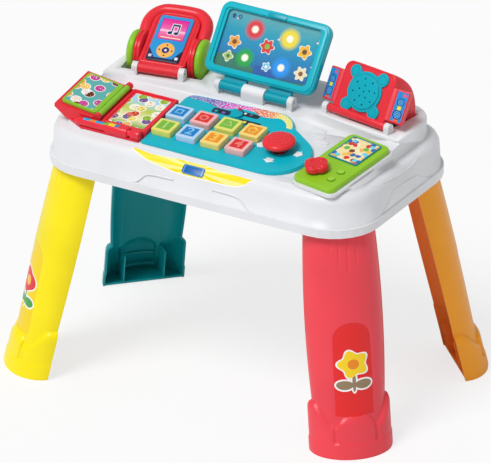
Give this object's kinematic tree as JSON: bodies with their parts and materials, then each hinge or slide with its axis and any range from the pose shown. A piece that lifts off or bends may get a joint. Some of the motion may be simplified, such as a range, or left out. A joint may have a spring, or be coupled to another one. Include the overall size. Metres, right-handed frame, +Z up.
{
  "type": "activity table",
  "caption": "Free-standing baby activity table: white top on splayed coloured legs, with keys, joystick, book, handheld console and hinged tablet, headphones and speaker modules.",
  "frame": {"origin": "on the floor under the middle of the table", "axes": "+X along the table's long side towards the speaker, +Y away from the child, +Z up"},
  "size_m": [0.5936, 0.3876, 0.4914],
  "materials": {
    "white_plastic": "satin moulded plastic",
    "red_plastic": "smooth moulded plastic",
    "turquoise_plastic": "smooth moulded plastic",
    "teal_plastic": "smooth moulded plastic",
    "green_plastic": "smooth moulded plastic",
    "yellow_plastic": "smooth moulded plastic",
    "orange_plastic": "smooth moulded plastic",
    "blue_plastic": "smooth moulded plastic with a printed face",
    "clear_plastic": "clear",
    "grey_plastic": "matte",
    "steel": "plated",
    "silicone": "matte",
    "circuit_board": "satin",
    "battery_case": "satin",
    "speaker_cone": "matte"
  },
  "bodies": {
    "root": {"table_top": "white_plastic", "base_cover": "white_plastic", "battery_door": "white_plastic", "cover_screw_1": "steel", "cover_screw_2": "steel", "cover_screw_3": "steel", "cover_screw_4": "steel", "door_screw": "steel", "battery_1": "battery_case", "battery_2": "battery_case", "battery_3": "battery_case", "battery_contact_left": "steel", "battery_contact_right": "steel", "leg_front_left": "yellow_plastic", "leg_front_right": "red_plastic", "leg_back_left": "teal_plastic", "leg_back_right": "orange_plastic", "keyboard_panel": "turquoise_plastic", "contact_mat": "silicone", "main_board": "circuit_board", "console_housing": "green_plastic", "console_screen": "teal_plastic", "book_base": "red_plastic", "book_pin": "steel", "book_pen": "red_plastic", "tablet_pin": "steel", "hinge_cover": "white_plastic", "headphones_pin": "steel", "speaker_pin": "steel"},
    "key_1": {"key_1": "green_plastic"},
    "key_2": {"key_2": "blue_plastic"},
    "key_3": {"key_3": "orange_plastic"},
    "key_4": {"key_4": "red_plastic"},
    "key_5": {"key_5": "blue_plastic"},
    "key_6": {"key_6": "red_plastic"},
    "key_7": {"key_7": "green_plastic"},
    "key_8": {"key_8": "orange_plastic"},
    "joystick_ring": {"joystick_gimbal": "grey_plastic"},
    "joystick": {"joystick": "red_plastic"},
    "dpad_ring": {"dpad_gimbal": "grey_plastic"},
    "dpad": {"console_dpad": "red_plastic"},
    "selector": {"mode_selector": "turquoise_plastic", "selector_tip": "red_plastic"},
    "page": {"book_page": "green_plastic"},
    "tablet": {"tablet_frame": "turquoise_plastic", "tablet_back": "turquoise_plastic", "tablet_window": "clear_plastic", "tablet_picture": "blue_plastic", "tablet_lights": "circuit_board"},
    "headphones": {"headphones_housing": "red_plastic", "headphones_back": "red_plastic", "headphones_band": "red_plastic", "ear_cup_left": "green_plastic", "ear_cup_right": "green_plastic", "music_panel": "blue_plastic"},
    "speaker": {"speaker_housing": "red_plastic", "speaker_grille": "turquoise_plastic", "speaker_driver": "speaker_cone", "speaker_wing_left": "red_plastic", "speaker_wing_right": "red_plastic"}
  },
  "joints": [
    {"name": "key_1_press", "type": "slide", "parent": "root", "child": "key_1", "axis": [0, 0.1271, -0.9919], "range_m": [0, 0.003], "stiffness_N_per_m": 400},
    {"name": "key_2_press", "type": "slide", "parent": "root", "child": "key_2", "axis": [0, 0.1271, -0.9919], "range_m": [0, 0.003], "stiffness_N_per_m": 400},
    {"name": "key_3_press", "type": "slide", "parent": "root", "child": "key_3", "axis": [0, 0.1271, -0.9919], "range_m": [0, 0.003], "stiffness_N_per_m": 400},
    {"name": "key_4_press", "type": "slide", "parent": "root", "child": "key_4", "axis": [0, 0.1271, -0.9919], "range_m": [0, 0.003], "stiffness_N_per_m": 400},
    {"name": "key_5_press", "type": "slide", "parent": "root", "child": "key_5", "axis": [0, 0.1271, -0.9919], "range_m": [0, 0.003], "stiffness_N_per_m": 400},
    {"name": "key_6_press", "type": "slide", "parent": "root", "child": "key_6", "axis": [0, 0.1271, -0.9919], "range_m": [0, 0.003], "stiffness_N_per_m": 400},
    {"name": "key_7_press", "type": "slide", "parent": "root", "child": "key_7", "axis": [0, 0.1271, -0.9919], "range_m": [0, 0.003], "stiffness_N_per_m": 400},
    {"name": "key_8_press", "type": "slide", "parent": "root", "child": "key_8", "axis": [0, 0.1271, -0.9919], "range_m": [0, 0.003], "stiffness_N_per_m": 400},
    {"name": "joystick_forward", "type": "hinge", "parent": "root", "child": "joystick_ring", "pos_m": [0.0925, -0.07054, 0.36536], "axis": [1, 0, 0], "range_deg": [-10, 10], "stiffness_Nm_per_rad": 0.05},
    {"name": "joystick_sideways", "type": "hinge", "parent": "joystick_ring", "child": "joystick", "pos_m": [0.0925, -0.07054, 0.36536], "axis": [0, 0.9919, 0.1271], "range_deg": [-10, 10], "stiffness_Nm_per_rad": 0.05},
    {"name": "dpad_forward", "type": "hinge", "parent": "root", "child": "dpad_ring", "pos_m": [0.16717, -0.10027, 0.3673], "axis": [0.9871, -0.1586, -0.0203], "range_deg": [-6, 6], "stiffness_Nm_per_rad": 0.03},
    {"name": "dpad_sideways", "type": "hinge", "parent": "dpad_ring", "child": "dpad", "pos_m": [0.16717, -0.10027, 0.3673], "axis": [0.1599, 0.9791, 0.1254], "range_deg": [-6, 6], "stiffness_Nm_per_rad": 0.03},
    {"name": "selector_turn", "type": "hinge", "parent": "root", "child": "selector", "pos_m": [-0.003, -0.02129, 0.37439], "axis": [0, -0.1271, 0.9919], "range_deg": [-40, 40]},
    {"name": "page_turn", "type": "hinge", "parent": "root", "child": "page", "pos_m": [-0.166, -0.11991, 0.37688], "axis": [0, 0.9919, 0.1271], "range_deg": [0, 170]},
    {"name": "tablet_tilt", "type": "hinge", "parent": "root", "child": "tablet", "pos_m": [0.003, 0.0255, 0.395], "axis": [1, 0, 0], "range_deg": [-25, 115]},
    {"name": "headphones_tilt", "type": "hinge", "parent": "root", "child": "headphones", "pos_m": [-0.152, 0.025, 0.3932], "axis": [0.9839, 0.1788, 0], "range_deg": [-8, 60]},
    {"name": "speaker_tilt", "type": "hinge", "parent": "root", "child": "speaker", "pos_m": [0.1505, 0.037, 0.392], "axis": [0.9857, -0.1685, 0], "range_deg": [-20, 20]}
  ]
}
